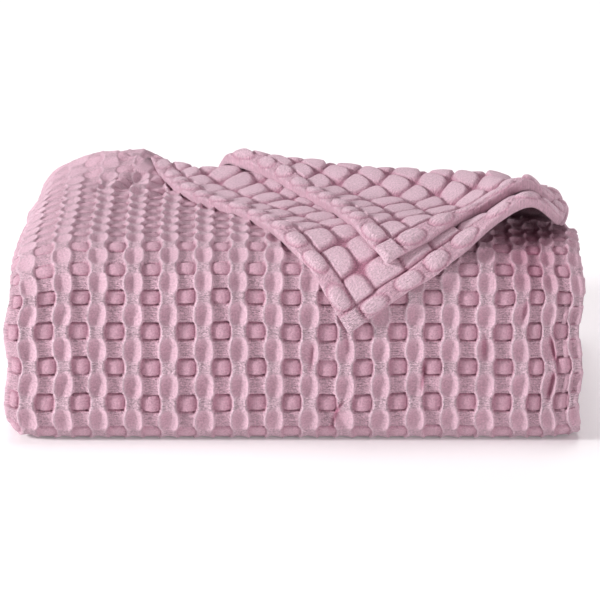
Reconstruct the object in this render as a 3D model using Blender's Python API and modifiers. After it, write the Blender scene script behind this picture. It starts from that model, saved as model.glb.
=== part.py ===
"""Waffle weave cotton blanket, folded into a thick rectangular pack, one corner turned back over the top.

One sheet of cloth makes the whole object. It is folded twice across its width, which gives a strip
of four layers, and the strip is folded in three and then in half. The two upper layers of the strip's
free end are turned back along a slanting crease, so their two hemmed corners lie over the front.

Metres, +Z up, front towards -Y. The origin is at the bottom centre of the whole object.
"""
import math
from collections import namedtuple

import bmesh
import bpy
import numpy as np

# ---- the pack ----
WIDTH = 0.368            # along X, from the folded side to the hemmed side
DEPTH = 0.300            # along Y, from the front fold to the loops at the back
PLY = 0.0045             # thickness of one layer of the cloth
PLY_GAP = 0.0005         # air between two layers
STRIP_PITCH = 0.0218     # from one strip of four layers to the next
STRIPS = 6               # strips in the height
SHAPED_END = 0.096       # length of the left end that is shaped when the pack settles

PLY_PITCH = PLY + PLY_GAP
STRIP = 4 * PLY + 3 * PLY_GAP
TOP = (STRIPS - 1) * STRIP_PITCH + STRIP
FRONT = -DEPTH / 2
BACK = DEPTH / 2
LEFT = -WIDTH / 2
RIGHT = WIDTH / 2

# ---- the bends of the outer strip at the front, on its middle line ----
FRONT_SLOPE = 38.0       # degrees turned by the long easy bend at the top
FRONT_EASY = 0.046       # its radius
FRONT_TIGHT = 0.012      # radius of the tight bends above and below the upright face
INNER_EASY = 0.030       # the easy bend of the second strip

# ---- where the edges of the cloth lie ----
FREE_END = BACK - 0.003          # the strip's free end, on the top at the back
INNER_END = BACK - 0.014         # its inner end, in the middle of the pack
HEM_OUTER = RIGHT - 0.0005       # hem of the strip's outermost layer
HEM_INNER = RIGHT - 0.004        # hem of the layer under it

# ---- the turned-back corner ----
FLAP_PLY = 0.0040        # a layer there, a little thinner, so that it joins inside the pack's layers
FLAP_LIFT = 0.0008       # air under the lower layer
FLAP_PITCH = 0.0055      # from the lower layer to the upper one
SHOULDER_EASE = 0.0016   # more air where they bend over the front edge
CREASE_POINT = (-0.105, 0.112)          # on the crease, in plan
CREASE_ANGLE = math.radians(-28.6)      # the crease, from +X
CREASE_CUT = 0.012                      # the pack's two upper layers end this far before the crease
CREASE_BED = 0.010                      # how far the rolled layers reach back inside them
CUTTER_REACH = 0.6                      # half the length of the slab that cuts them, past the pack
CUTTER_RISE = 0.05                      # its height over the top
ROLL_STEPS = 7
ROLL_EASE = 0.045                       # in this length the layers come down from the roll
Roll = namedtuple("Roll", "share radius")       # radius of the roll's middle line, left to right
ROLL = (Roll(0.0, 0.0040), Roll(0.15, 0.0040), Roll(0.35, 0.0065), Roll(0.8, 0.0105), Roll(1.0, 0.0065))
UPPER_LIFT = 0.009       # the upper layer stands up more at the left end of its roll

# Hems of the turned-back layers on the unrolled pack: x across, v along the outer face, which is y
# on the flat top and goes on down the front. The share runs from the corner, 0, to the roll, 1, and
# the layers have a row of points at each of FLAP_SHARES.
FLAP_COLUMNS = 10
FLAP_SHARES = (0.93, 0.86, 0.79, 0.70, 0.61, 0.52, 0.43, 0.35, 0.28, 0.22, 0.17, 0.12, 0.07, 0.035, 0.0)
Hem = namedtuple("Hem", "share left_x left_v right_x right_v")
LOWER_HEMS = (
    Hem(0.00, 0.0345, -0.1892, 0.0370, -0.1884),
    Hem(0.12, 0.013, -0.154, 0.072, -0.163),
    Hem(0.20, 0.002, -0.141, 0.090, -0.154),
    Hem(0.30, -0.012, -0.117, 0.111, -0.137),
    Hem(0.40, -0.025, -0.077, 0.127, -0.123),
    Hem(0.50, -0.039, -0.048, 0.146, -0.114),
    Hem(0.72, -0.071, 0.003, 0.168, -0.099),
    Hem(1.00, -0.103, 0.100, 0.177, -0.056),
)
UPPER_HEMS = (
    Hem(0.00, 0.0583, -0.1497, 0.0605, -0.1492),
    Hem(0.12, 0.045, -0.132, 0.087, -0.132),
    Hem(0.20, 0.040, -0.122, 0.099, -0.120),
    Hem(0.30, 0.033, -0.099, 0.113, -0.105),
    Hem(0.40, 0.025, -0.066, 0.128, -0.098),
    Hem(0.50, 0.015, -0.038, 0.142, -0.093),
    Hem(0.72, -0.013, 0.027, 0.162, -0.078),
    Hem(1.00, -0.045, 0.072, 0.173, -0.048),
)

# The turned-back layers stand off the shoulder of the pack from here to there, in v.
SHOULDER_FROM = -0.085
SHOULDER_TO = -0.115

# The raised fold of the turned-back layers near the right end, over the front edge.
ARCH_X = 0.150
ARCH_WIDTH = 0.027
ARCH_HEIGHT = 0.018
ARCH_OPEN = 0.005        # the two layers stand this much further apart there
ARCH_FRONT = -0.165      # it starts here, in v, and is full at ARCH_FULL
ARCH_FULL = -0.122

# ---- how the pack settles ----
DIP_BACK = 0.002         # the top is this much lower at the back
DIP_RIGHT = 0.008        # and this much lower again at the back of the right end
DIP_FROM_Y = FRONT + 0.050
DIP_TO_Y = BACK + 0.020
DIP_FROM_X = -0.020      # the second dip starts here and is full at the right end
SHOULDER = 0.045         # width of the sloping ends of the top
DROP_LEFT = 0.012
DROP_RIGHT = 0.005
PULL_START = 0.075       # height where the upper folds start to be drawn in
PULL_FRONT = 0.004       # they are drawn in by this much at the front, and at the back of each end
PULL_LEFT = 0.016
PULL_RIGHT = 0.013
PULL_REACH = 0.130       # over this length from each of the next two places
PULL_FROM_LEFT = -0.040
PULL_FROM_RIGHT = 0.050
BULGE = 0.020            # the nested folds stand up at the back of the left end
BULGE_X = -0.113
BULGE_LEFT = 0.044       # spread of the bulge to each side
BULGE_RIGHT = 0.020
BULGE_Y = 0.060          # it starts here and is full at the back
WANDER = 0.0012          # unevenness of the stacked edges
WANDER_PITCH = 2.3 * STRIP_PITCH        # height of one wave of it
WANDER_TURN = 9.0        # how its phase changes along Y, in radians a metre
WANDER_FROM = 0.100      # it starts this far from the middle
WANDER_REACH = 0.080     # and is full after this length
CORNER_LIFT = 0.0035     # the lower edge is rounded up by this much at both ends
CORNER = 0.030           # over this length

Run = namedtuple("Run", "length steps")
Arc = namedtuple("Arc", "radius degrees steps")     # degrees turned, positive to the left


def walk(start, heading, moves):
    """Rows of (a, b, heading) along straight runs and arcs, with the heading in radians."""
    a, b = start
    rows = [(a, b, heading)]
    for move in moves:
        if isinstance(move, Run):
            for step in range(1, move.steps + 1):
                reach = move.length * step / move.steps
                rows.append((a + reach * math.cos(heading), b + reach * math.sin(heading), heading))
        else:
            side = math.copysign(1.0, move.degrees)
            centre_a = a - side * move.radius * math.sin(heading)
            centre_b = b + side * move.radius * math.cos(heading)
            for step in range(1, move.steps + 1):
                now = heading + math.radians(move.degrees) * step / move.steps
                rows.append((centre_a + side * move.radius * math.sin(now),
                             centre_b - side * move.radius * math.cos(now), now))
        a, b, heading = rows[-1]
    return rows


def bend_height(easy):
    """Height and depth taken by an easy bend and a tight one that together turn a right angle."""
    rest = math.radians(90 - FRONT_SLOPE)
    height = easy * (1 - math.sin(rest)) + FRONT_TIGHT * math.sin(rest)
    depth = easy * math.cos(rest) + FRONT_TIGHT * (1 - math.cos(rest))
    return height, depth


def strip_section():
    """Closed outline (x, n) of the four-layer strip: two hems on the right, nested folds on the left."""
    fold_left = LEFT + 1.5 * PLY_PITCH + PLY / 2
    fold_right = RIGHT - (PLY_PITCH + PLY) / 2
    across = fold_right - fold_left
    shoulder = Run(SHAPED_END, 3)                    # finer steps, where the left end is shaped
    middle = walk((HEM_OUTER, 1.5 * PLY_PITCH), math.pi, (
        Run(HEM_OUTER - fold_left - SHAPED_END, 3), shoulder, Arc(1.5 * PLY_PITCH, 180, 6),
        shoulder, Run(across - SHAPED_END, 2), Arc(PLY_PITCH / 2, 180, 3),
        Run(across - SHAPED_END, 2), shoulder, Arc(PLY_PITCH / 2, -180, 3),
        shoulder, Run(HEM_INNER - fold_left - SHAPED_END, 3)))

    def side(offset):
        return [(x - offset * math.sin(turn), n + offset * math.cos(turn)) for x, n, turn in middle]

    return side(PLY / 2) + side(-PLY / 2)[::-1]


def strip_path():
    """Rows (y, z, heading) of the strip's middle line, from its free end on the top to its inner end."""
    level = [STRIP / 2 + STRIP_PITCH * k for k in range(STRIPS)]
    face = FRONT + STRIP / 2                         # middle line of the outer strip's upright face
    loop = BACK - STRIP / 2 - STRIP_PITCH / 2        # centre of the loops at the back
    high, deep = bend_height(FRONT_EASY)
    high_inner, deep_inner = bend_height(INNER_EASY)
    tight = 90 - FRONT_SLOPE
    outer = (Run(FREE_END - BULGE_Y, 3), Run(BULGE_Y - face - deep, 2),
             Arc(FRONT_EASY, FRONT_SLOPE, 3), Arc(FRONT_TIGHT, tight, 3),
             Run(level[5] - level[0] - high - FRONT_TIGHT, 1), Arc(FRONT_TIGHT, 90, 3),
             Run(loop - face - FRONT_TIGHT, 2), Arc(STRIP_PITCH / 2, 180, 6))
    second = (Run(loop - face - STRIP_PITCH - FRONT_TIGHT, 2), Arc(FRONT_TIGHT, -90, 2),
              Run(level[4] - level[1] - FRONT_TIGHT - high_inner, 1),
              Arc(FRONT_TIGHT, -tight, 2), Arc(INNER_EASY, -FRONT_SLOPE, 2),
              Run(BULGE_Y - face - STRIP_PITCH - deep_inner, 2), Run(loop - BULGE_Y, 3),
              Arc(STRIP_PITCH / 2, -180, 6))
    third = (Run(loop - face - 2.5 * STRIP_PITCH, 2), Arc(STRIP_PITCH / 2, 180, 6),
             Run(INNER_END - face - 2.5 * STRIP_PITCH, 2))
    return walk((FREE_END, level[5]), math.pi, outer + second + third)


def mesh_object(name, vertices, faces, collection):
    """A new object from vertices and faces, with its faces turned out."""
    shape = bmesh.new()
    verts = [shape.verts.new(place) for place in vertices]
    for face in faces:
        shape.faces.new([verts[k] for k in face])
    bmesh.ops.recalc_face_normals(shape, faces=shape.faces)
    mesh = bpy.data.meshes.new(name)
    shape.to_mesh(mesh)
    shape.free()
    thing = bpy.data.objects.new(name, mesh)
    collection.objects.link(thing)
    return thing


def folded_pack(collection):
    """The strip's section carried along its path, closed at both ends."""
    section = strip_section()
    count = len(section)
    vertices = []
    for y, z, heading in strip_path():
        out_y, out_z = math.sin(heading), -math.cos(heading)
        vertices += [(x, y + n * out_y, z + n * out_z) for x, n in section]
    rings = len(vertices) // count
    faces = [(ring * count + k, ring * count + (k + 1) % count,
              (ring + 1) * count + (k + 1) % count, (ring + 1) * count + k)
             for ring in range(rings - 1) for k in range(count)]
    faces.append(tuple(range(count)))
    faces.append(tuple(range(len(vertices) - count, len(vertices))))
    return mesh_object("pack", vertices, faces, collection)


def crease_axes():
    """Unit vectors in plan: along the crease to the right, and across it towards the corner."""
    along = np.array((math.cos(CREASE_ANGLE), math.sin(CREASE_ANGLE)))
    across = np.array((along[1], -along[0]))
    return along, across


def upper_layer_cutter(collection):
    """A slab that takes the pack's two upper layers away behind the crease."""
    along, across = crease_axes()
    near = np.array(CREASE_POINT) + across * CREASE_CUT
    far = near - across * CUTTER_REACH
    reach = along * CUTTER_REACH
    corners = [near - reach, near + reach, far + reach, far - reach]
    low = TOP - STRIP / 2
    high = TOP + CUTTER_RISE
    vertices = [(x, y, low) for x, y in corners] + [(x, y, high) for x, y in corners]
    faces = [(0, 1, 2, 3), (4, 5, 6, 7)] + [(k, (k + 1) % 4, (k + 1) % 4 + 4, k + 4) for k in range(4)]
    return mesh_object("upper_layer_cutter", vertices, faces, collection)


def smooth(value):
    """0 below 0, 1 above 1, with an S curve between."""
    value = min(max(value, 0.0), 1.0)
    return value * value * (3 - 2 * value)


def outer_face(v):
    """Point (y, z) of the pack's outer face at v, and its outward direction there."""
    edge = FRONT + STRIP / 2 + bend_height(FRONT_EASY)[1]
    rest = edge - v
    if rest <= 0:
        return v, TOP, 0.0, 1.0
    moves = []
    for radius, degrees in ((FRONT_EASY, FRONT_SLOPE), (FRONT_TIGHT, 90 - FRONT_SLOPE)):
        bend = (radius + STRIP / 2) * math.radians(degrees)
        share = min(rest / bend, 1.0)
        moves.append(Arc(radius + STRIP / 2, degrees * share, 1))
        rest = max(rest - bend, 0.0)
    moves.append(Run(rest, 1))
    y, z, heading = walk((edge, TOP), math.pi, moves)[-1]
    return y, z, math.sin(heading), -math.cos(heading)


def flap_height(x, v, layer):
    """Extra height of a turned-back layer, 0 or 1, over the outer face, besides its own pitch."""
    ease = SHOULDER_EASE * smooth((SHOULDER_FROM - v) / (SHOULDER_FROM - SHOULDER_TO))
    across = math.exp(-((x - ARCH_X) / ARCH_WIDTH) ** 2)
    rise = smooth((v - ARCH_FRONT) / (ARCH_FULL - ARCH_FRONT))
    return ease + (ARCH_HEIGHT + ARCH_OPEN * layer) * across * rise


def drape(x, v, height):
    """A point at a height over the pack's outer face."""
    y, z, out_y, out_z = outer_face(v)
    return x, y + height * out_y, z + height * out_z


def roll_radius(share):
    """Radius of the roll at a share of its length from the left."""
    return float(np.interp(share, [row.share for row in ROLL], [row.radius for row in ROLL]))


def hem_row(hems, share):
    """Left and right ends (x, v) of a row of the turned-back layer."""
    shares = [hem.share for hem in hems]
    return [np.array([np.interp(share, shares, [hem[k] for hem in hems]) for k in pair])
            for pair in ((1, 2), (3, 4))]


def upper_lift(layer, share):
    """How much higher a layer stands in the left half of its roll."""
    return UPPER_LIFT * layer * (1 - smooth(share / 0.5))


def turned_layer(name, hems, layer, collection):
    """One turned-back layer: inside the pack's own layer, round the roll, over the top, to its corner."""
    along, across = crease_axes()
    level = FLAP_LIFT + FLAP_PLY / 2 + FLAP_PITCH * layer
    under = PLY_PITCH * layer                          # how far below the top layer it starts
    start = -PLY / 2 - under                           # its middle in the pack, from the top
    columns = [column / FLAP_COLUMNS for column in range(FLAP_COLUMNS + 1)]
    roll_left, roll_right = hem_row(hems, 1.0)
    grid = []
    for inside in (CREASE_CUT + CREASE_BED, CREASE_CUT + CREASE_BED / 2, CREASE_CUT):
        places = [roll_left + (roll_right - roll_left) * share
                  + across * (inside - roll_radius(share)) for share in columns]
        grid.append([drape(x, v, start) for x, v in places])
    for step in range(ROLL_STEPS + 1):
        angle = math.pi * step / ROLL_STEPS
        line = []
        for share in columns:
            reach = roll_radius(share) + under
            x, v = roll_left + (roll_right - roll_left) * share - across * reach * math.sin(angle)
            height = start + under + roll_radius(share) - reach * math.cos(angle)
            line.append(drape(x, v, height + upper_lift(layer, share) * (1 - math.cos(angle)) / 2))
        grid.append(line)
    for along_share in FLAP_SHARES:
        left, right = hem_row(hems, along_share)
        line = []
        for share in columns:
            x, v = place = left + (right - left) * share
            roll = roll_radius(share)
            from_roll = 2 * roll + under - PLY / 2 + upper_lift(layer, share)
            away = np.dot(place - np.array(CREASE_POINT), across) - roll
            down = smooth(away / ROLL_EASE)
            line.append(drape(x, v, from_roll * (1 - down) + (level + flap_height(x, v, layer)) * down))
        grid.append(line)
    width = len(columns)
    vertices = [point for line in grid for point in line]
    faces = [(r * width + c, r * width + c + 1, (r + 1) * width + c + 1, (r + 1) * width + c)
             for r in range(len(grid) - 1) for c in range(width - 1)]
    sheet = mesh_object(name, vertices, faces, collection)
    solid = sheet.modifiers.new("thickness", "SOLIDIFY")
    solid.thickness = FLAP_PLY
    solid.offset = 0.0
    solid.use_even_offset = True
    return sheet


def boolean(thing, other, operation):
    """Joins another solid to this one, or cuts it away."""
    step = thing.modifiers.new(other.name, "BOOLEAN")
    step.operation = operation
    step.solver = "EXACT"
    step.object = other


def settle(x, y, z):
    """Where a point of the square pack comes to rest when the pack settles under its own weight."""
    back = smooth((y - DIP_FROM_Y) / (DIP_TO_Y - DIP_FROM_Y))
    to_right = smooth((x - DIP_FROM_X) / (RIGHT - DIP_FROM_X))
    shoulder_left = max((LEFT + SHOULDER - x) / SHOULDER, 0.0) ** 2
    shoulder_right = max((x - RIGHT + SHOULDER) / SHOULDER, 0.0) ** 2
    spread = BULGE_LEFT if x < BULGE_X else BULGE_RIGHT
    bulge = BULGE * math.exp(-((x - BULGE_X) / spread) ** 2) * smooth((y - BULGE_Y) / (BACK - BULGE_Y))
    drop = DIP_BACK * back + DIP_RIGHT * back * to_right
    drop += DROP_LEFT * shoulder_left + DROP_RIGHT * shoulder_right - bulge
    low = min(z / TOP, 1.0)
    high = smooth((z - PULL_START) / (TOP - PULL_START))
    pull_left = PULL_FRONT + (PULL_LEFT - PULL_FRONT) * back
    pull_right = PULL_FRONT + (PULL_RIGHT - PULL_FRONT) * back
    pull = pull_left * smooth((PULL_FROM_LEFT - x) / PULL_REACH)
    pull -= pull_right * smooth((x - PULL_FROM_RIGHT) / PULL_REACH)
    wave = WANDER * math.sin(2 * math.pi * z / WANDER_PITCH + WANDER_TURN * y) * smooth(z / STRIP)
    wave *= smooth((abs(x) - WANDER_FROM) / WANDER_REACH)
    corner = CORNER_LIFT * max((abs(x) - RIGHT + CORNER) / CORNER, 0.0) ** 2 * (1 - low)
    return x + pull * high - wave, y, z - drop * low ** 3 + corner


def cloth_material():
    cloth = bpy.data.materials.new("waffle_cotton")
    cloth.use_nodes = True
    surface = cloth.node_tree.nodes["Principled BSDF"]
    surface.inputs["Base Color"].default_value = (0.55, 0.25, 0.34, 1.0)
    surface.inputs["Roughness"].default_value = 0.92
    surface.inputs["Metallic"].default_value = 0.0
    return cloth


def main():
    for old in list(bpy.data.objects):
        bpy.data.objects.remove(old, do_unlink=True)
    model = bpy.data.collections.new("waffle_blanket")
    guides = bpy.data.collections.new("cutters")
    for group in (model, guides):
        bpy.context.scene.collection.children.link(group)

    pack = folded_pack(guides)
    boolean(pack, upper_layer_cutter(guides), "DIFFERENCE")
    boolean(pack, turned_layer("lower_layer", LOWER_HEMS, 0, guides), "UNION")
    boolean(pack, turned_layer("upper_layer", UPPER_HEMS, 1, guides), "UNION")
    bpy.context.view_layer.update()
    mesh = bpy.data.meshes.new_from_object(pack.evaluated_get(bpy.context.evaluated_depsgraph_get()))

    for vertex in mesh.vertices:
        vertex.co = settle(*vertex.co)
    places = np.array([vertex.co for vertex in mesh.vertices])
    low, high = places.min(axis=0), places.max(axis=0)
    middle = (low + high) / 2
    for vertex in mesh.vertices:
        vertex.co = (vertex.co.x - middle[0], vertex.co.y - middle[1], vertex.co.z - low[2])
    mesh.materials.clear()
    mesh.materials.append(cloth_material())
    blanket = bpy.data.objects.new("blanket", mesh)
    model.objects.link(blanket)

    for guide in guides.objects:
        guide.hide_render = True
        guide.display_type = "WIRE"
        guide.hide_viewport = True


main()
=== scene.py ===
"""The looks of the folded waffle weave blanket: one cloth, laid on the folds of its solid.

Metres, +Z up, front towards -Y. Every sheet follows the same folds as the solid and adds the relief of
the weave: ridge columns with oval dishes, and between them grooves with small pillows.
"""
import math
from collections import namedtuple

import bpy
import numpy as np
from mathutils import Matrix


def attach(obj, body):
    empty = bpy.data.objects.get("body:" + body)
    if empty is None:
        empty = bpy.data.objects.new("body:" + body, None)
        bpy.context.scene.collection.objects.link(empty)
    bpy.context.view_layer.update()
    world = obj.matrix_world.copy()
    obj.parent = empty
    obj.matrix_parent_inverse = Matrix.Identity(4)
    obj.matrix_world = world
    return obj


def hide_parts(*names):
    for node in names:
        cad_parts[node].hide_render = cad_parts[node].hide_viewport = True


# ---- the folds, as in the solid: a strip of four layers, laid to and fro six times ----
WIDTH = 0.368
DEPTH = 0.300
PLY = 0.0045  # thickness of one layer
PLY_PITCH = 0.005  # from one layer of a strip to the next
STRIP_PITCH = 0.0218  # from one strip to the next
STRIPS = 6
STRIP = 4 * PLY_PITCH - (PLY_PITCH - PLY)
TOP = (STRIPS - 1) * STRIP_PITCH + STRIP
FRONT, BACK = -DEPTH / 2, DEPTH / 2
LEFT, RIGHT = -WIDTH / 2, WIDTH / 2
FRONT_SLOPE = 38.0  # degrees of the front's wide upper bend, before a tight one
FRONT_EASY = 0.046  # radius of the wide bend in the outer strip's middle
FRONT_TIGHT = 0.012  # and of the tight bends
INNER_EASY = 0.030  # and of the wide bend in the strip inside that one
FREE_END = BACK - 0.003  # the strip's upper end
INNER_END = BACK - 0.014  # and its end inside the pack
HEM_OUTER = RIGHT - 0.0005  # the long hem of the first layer
HEM_INNER = RIGHT - 0.004  # and of the fourth
HEM_RADIUS = 0.0021  # how tightly the cloth turns under at a hem
HEM_UNDER = 0.012  # width that is turned under
FACE = 1.5 * PLY_PITCH + PLY / 2  # the outer face of the strip, from its middle

# ---- the turned-back corner, as in the solid ----
FLAP_PLY = 0.0040
FLAP_LIFT = 0.0008  # gap under the lower of its two layers
FLAP_PITCH = 0.0055  # from the lower layer to the upper one
SHOULDER_EASE = 0.0016  # they stand this much further off on the front
SHOULDER_FROM, SHOULDER_TO = -0.085, -0.115
CREASE_POINT = np.array((-0.105, 0.112))
CREASE_ANGLE = math.radians(-28.6)
CREASE_CUT = 0.012  # the two upper layers end this far in front of the crease
CREASE_BED = 0.010  # width of each turned layer's start, from there on
BED_SUNK = 0.0028  # how far that start lies sunk
SHEET_CUT = 0.006  # at the left the visible sheet runs on this close to the crease
CUT_FROM, CUT_REACH = -0.03, 0.05
CUT_EDGE = 0.004  # quads may reach this far past the cut
EDGE_DOWN, DOWN_REACH = 0.003, 0.006  # the cut's edge is turned down
ROLL_SHARES = (0.0, 0.15, 0.35, 0.8, 1.0)  # along the crease, from its left end
ROLL_RADII = (0.0040, 0.0040, 0.0065, 0.0105, 0.0065)  # radius of the turn there
ROLL_END, ROLL_END_REACH = 0.40, 0.10  # its share at the left end
ROLL_EASE = 0.045  # the layers come down from the turn over this distance
ROLL_SIDEWAYS = (1.20, 0.21)  # how far the turn runs sideways, left and right
UPPER_LIFT, LIFT_REACH = 0.009, 0.5  # of the upper layer, over the crease's left half
Hem = namedtuple("Hem", "share left_x left_v right_x right_v")
LOWER_HEMS = (
    Hem(0.00, 0.0345, -0.1892, 0.037, -0.1884),
    Hem(0.12, 0.013, -0.154, 0.072, -0.163),
    Hem(0.2, 0.002, -0.141, 0.09, -0.154),
    Hem(0.3, -0.012, -0.117, 0.111, -0.137),
    Hem(0.4, -0.025, -0.077, 0.127, -0.123),
    Hem(0.5, -0.039, -0.048, 0.146, -0.114),
    Hem(0.72, -0.071, 0.003, 0.168, -0.099),
    Hem(1.00, -0.103, 0.1, 0.177, -0.056),
)
UPPER_HEMS = (
    Hem(0.00, 0.0583, -0.1497, 0.0605, -0.1492),
    Hem(0.12, 0.045, -0.132, 0.087, -0.132),
    Hem(0.2, 0.04, -0.122, 0.099, -0.12),
    Hem(0.3, 0.033, -0.099, 0.113, -0.105),
    Hem(0.4, 0.025, -0.066, 0.128, -0.098),
    Hem(0.5, 0.015, -0.038, 0.142, -0.093),
    Hem(0.72, -0.013, 0.027, 0.162, -0.078),
    Hem(1.00, -0.045, 0.072, 0.173, -0.048),
)
# The arch in which both layers stand off the pack, at the upper front's right.
ARCH_X, ARCH_WIDTH, ARCH_RIGHT, ARCH_HEIGHT, ARCH_OPEN = 0.150, 0.029, 0.019, 0.020, 0.002
ARCH_FRONT, ARCH_FULL = -0.165, -0.122
# The pack gives a little under the arch, and has painted shade there.
ARCH_DENT, ARCH_SHADE, DENT_WIDTH, ARCH_BACK, DENT_REACH = 0.003, 0.45, 0.022, -0.055, 0.03
# It is fuller at its right shoulder.
FULL, FULL_X, FULL_REACH, FULL_LOW, FULL_TALL = 0.002, 0.158, 0.018, 0.016, 0.014

# ---- how the square pack settles, as in the solid ----
# The top dips towards its back and its right.
DIP_BACK, DIP_RIGHT = 0.002, 0.008
DIP_FROM_Y, DIP_TO_Y, DIP_FROM_X = FRONT + 0.050, BACK + 0.020, -0.020
# Its two side edges drop, over this width.
SHOULDER, DROP_LEFT, DROP_RIGHT = 0.045, 0.012, 0.005
# The sides of the upper layers are drawn in, above this height.
PULL_START, PULL_FRONT, PULL_LEFT, PULL_RIGHT = 0.075, 0.004, 0.016, 0.013
PULL_REACH, PULL_FROM_LEFT, PULL_FROM_RIGHT = 0.130, -0.040, 0.050
# The hump at the back left.
BULGE, BULGE_X, BULGE_LEFT, BULGE_RIGHT, BULGE_Y = 0.020, -0.113, 0.044, 0.025, 0.060
# The sides wander in and out from layer to layer.
WANDER, WANDER_PITCH, WANDER_TURN = 0.0012, 2.3 * STRIP_PITCH, 9.0
WANDER_FROM, WANDER_REACH = 0.100, 0.080
# The lowest corners lift off the ground.
CORNER_LIFT, CORNER = 0.0035, 0.030
GROUND = 0.0003  # nothing is lower than this
SHIFT = np.array((0.00025, 0.00320, 0.0))  # from the square pack's middle to the object's

# ---- the weave ----
CELL_ACROSS = 0.0225  # from one ridge column to the next
CELL_ALONG = 0.0233  # from one oval dish to the next along a column
RIDGE_X = 0.0323  # a ridge column on the front
OVAL_Z = 0.0852  # height of an oval's middle on the front
SQUEEZE_X = 0.146  # right of here the columns are closer together
SQUEEZE = 1.28  # by this factor
LOWERED = 0.0044  # the rows sit this much lower over the front's upper bend
RIDGE_TOP = 0.0010  # the rims stand this far over the solid's face
RIDGE_HALF = 0.200  # half width of a column at its links, in cells
OVAL_HALF = 0.090  # added at the ovals
OVAL_LONG = 0.345  # half length of an oval, in cells
DISH = 0.0040  # depth of an oval's dish
LINK_DIP = 0.0008
GROOVE = 0.0052  # depth of the groove between the columns
PILLOW = 0.0040  # rise of the small pillows in the groove
PILLOW_HALF = 0.235  # half length of a pillow along the groove, in cells
FLAT_RISE = 0.0033  # the flats between the pillows
CREASE_DEEP = 0.0007  # the crease around a pillow
SCALE_DEEP = 0.0036  # depth of the crevices on the reverse side
SCALE_LEAN = 0.0008  # the scales lean by this much
UNEVEN_U, UNEVEN_W, UNEVEN_BACK = 0.035, 0.045, 0.07  # how far cells wander, in cells
OVAL_VARIES, PILLOW_VARIES, SCALE_VARIES = 0.10, 0.18, 0.14  # how much their sizes vary
CLOTH_TONE = 0.66  # painted shading of the cloth where its relief fades, with neither painted shade nor highlight
TONE_KEPT = 0.25  # the share of the painted shade and highlight that stays there
# Inner layers have this share of the relief, and some only at the pack's sides.
INWARD_SHARE, SIDE_REACH, SIDE_FADE = 0.8, 0.036, 0.010
TURN_FADE = 0.008  # the back turn's relief fades in over this width from its edges
# What it loses at the long hem's edge, where turned under, and by the end hem.
HEM_CALM, HEM_REACH, UNDER_CALM, END_CALM, END_REACH = 0.75, 0.004, 0.8, 0.2, 0.020
FLOOR_SHARE, FLOOR_LOW, FLOOR_REACH = 0.30, 0.004, 0.028  # the share left on the floor
# The top is softer, more so at its left, and nearly smooth left of CALM_X behind CALM_Y.
TOP_REACH, TOP_CALM, TOP_CALM_LEFT, TOP_LEFT, LEFT_REACH = 0.040, 0.25, 0.35, 0.075, 0.060
CALM_X, CALM_Y, CALM_REACH, CALM = -0.045, 0.045, 0.05, 0.75
# Short slits where the cloth is pinched, on the front, with painted shade in them.
SLIT_WIDTH = 0.0013
SLIT_SHADE = 0.003  # a slit of this depth gets the full painted shade
# The path's headings where they are, and over which they fade.
SLITS_FROM, SLITS_FADE_IN, SLITS_TO, SLITS_FADE_OUT = math.pi * 1.15, 0.2, math.pi * 1.9, 0.3
Slit = namedtuple("Slit", "x z lean half_length depth")
SLITS = (
    Slit(0.027, 0.021, 0.5, 0.007, 0.003),
    Slit(0.011, 0.056, 0.1, 0.009, 0.0016),
    Slit(0.033, 0.07, -0.1, 0.01, 0.0014),
    Slit(0.0825, 0.044, 0.1, 0.008, 0.002),
    Slit(0.1215, 0.064, 0.0, 0.008, 0.002),
    Slit(0.1655, 0.062, -0.1, 0.009, 0.0028),
    Slit(0.164, 0.0385, 0.1, 0.009, 0.003),
    Slit(0.147, 0.088, 0.1, 0.007, 0.0016),
)
# Soft creases on the back left of the top; a ridge has a depth less than 0.
Crease = namedtuple("Crease", "x y lean half_length half_width depth")
CREASES = (
    Crease(-0.125, 0.062, 0.2, 0.024, 0.0045, -0.0022),
    Crease(-0.103, 0.052, 0.45, 0.028, 0.005, -0.0024),
    Crease(-0.1145, 0.064, 0.32, 0.022, 0.0038, 0.0028),
    Crease(-0.137, 0.052, 0.1, 0.02, 0.0042, 0.0022),
    Crease(-0.088, 0.034, 0.55, 0.022, 0.004, 0.0022),
    Crease(-0.15, 0.086, -0.15, 0.026, 0.005, 0.0018),
    Crease(-0.118, 0.11, 0.6, 0.018, 0.005, 0.0018),
)

# ---- the hems of the turned-back layers ----
HEM_BAND = 0.0120  # width
HEM_SLANT = 0.97  # distance from a hem for each length along the other one
HEM_FADE = 0.0012  # from the band to the weave
SEAM_WIDTH, SEAM_DEEP = 0.0009, 0.0020  # the stitched line inside the band
HEM_SUNK = 0.0038  # how far its underside sinks into the weave below
SUNK_REACH, SUNK_END, SUNK_FADE = 0.0025, 0.020, 0.006
EDGE_ROUND, EDGE_FLAT = 0.0024, 0.003  # the layers' edges are rounded and flat over this

# ---- where the vertices are ----
# Across and along one cell of the weave, in shares of it.
ACROSS_STEPS = (0, .075, .14, .185, .215, .245, .28, .335, .42,
                .5, .58, .665, .72, .755, .785, .815, .86, .925)
ALONG_STEPS = (0, .09, .17, .22, .245, .265, .285, .33, .41,
               .5, .59, .67, .715, .735, .755, .78, .83, .91)
# Pitches across the pack's layers, along them, and wide ones for cloth out of sight.
STEP_FIRST_HEM, STEP_HEM, STEP_WEAVE, STEP_SIDE, STEP_UNDER = 0.0014, 0.0016, 0.0019, 0.0020, 0.0024
STEP_ALONG, STEP_TURN = 0.0026, 0.0012
STEP_FOLD, STEP_LOOSE, STEP_UNDER_FOLD = 0.004, 0.008, 0.006
STEP_IN, STEP_IN_NARROW, STEP_IN_WIDE = 0.025, 0.020, 0.030
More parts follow.
